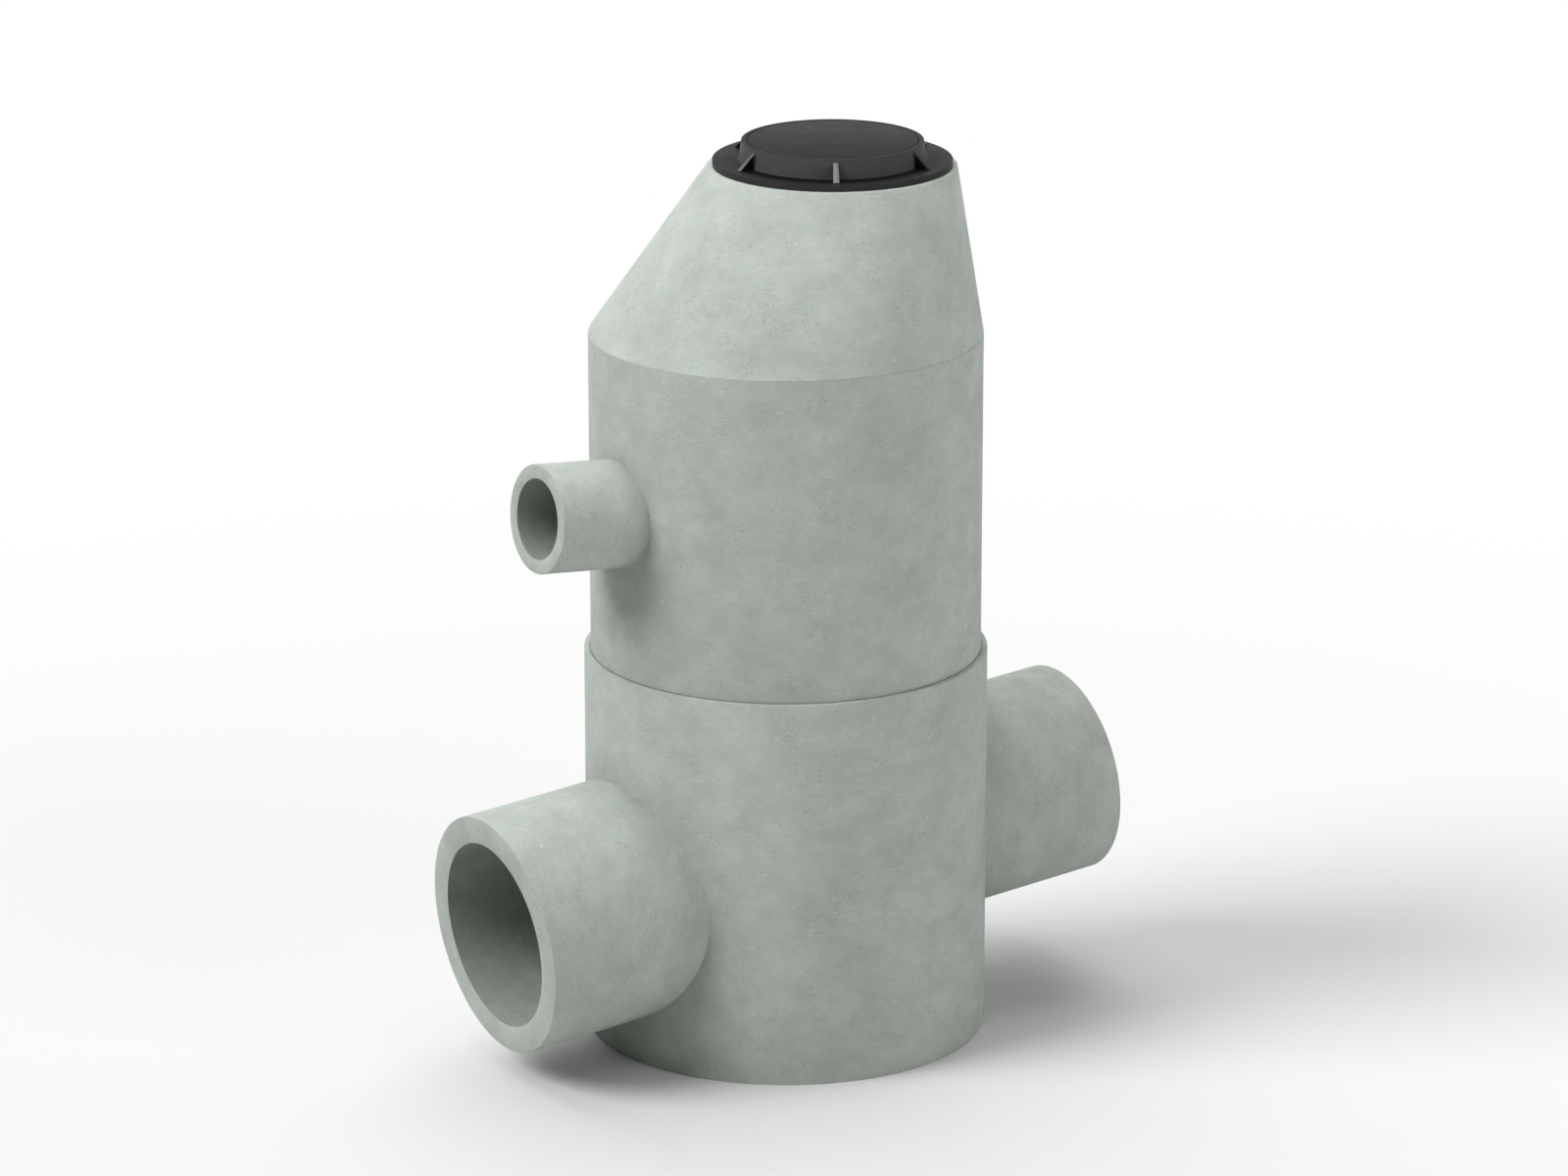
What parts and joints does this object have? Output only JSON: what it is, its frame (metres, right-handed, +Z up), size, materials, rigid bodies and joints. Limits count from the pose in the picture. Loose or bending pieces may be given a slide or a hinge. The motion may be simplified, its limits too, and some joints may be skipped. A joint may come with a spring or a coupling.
{
  "type": "concrete manhole",
  "caption": "Precast concrete manhole with pipe ends, riser with side inlet, eccentric cone, step irons and a round cast-iron cover in a ribbed frame.",
  "frame": {"origin": "centre of the base's underside, on the shaft axis", "axes": "+Z up along the shaft; -X the way the outlet and the side inlet point; +X the way the inlet and the cone's offset point"},
  "size_m": [2.6589, 1.55, 3.476],
  "materials": {
    "concrete": "matte cast concrete with fine pits",
    "cast_iron": "black coated casting, satin",
    "rubber": "matte",
    "step_coating": "moulded coating on steel, satin"
  },
  "bodies": {
    "root": {"base_unit": "concrete", "benching": "concrete", "outlet_pipe": "concrete", "inlet_pipe": "concrete", "riser_ring": "concrete", "side_inlet_pipe": "concrete", "cone": "concrete", "base_joint_seal": "rubber", "riser_joint_seal": "rubber", "cover_seat_ring": "rubber", "cover_frame": "cast_iron", "cover_disc": "cast_iron", "step_iron_1": "step_coating", "step_iron_2": "step_coating", "step_iron_3": "step_coating", "step_iron_4": "step_coating", "step_iron_5": "step_coating", "step_iron_6": "step_coating", "step_iron_7": "step_coating", "step_iron_8": "step_coating"}
  },
  "joints": []
}
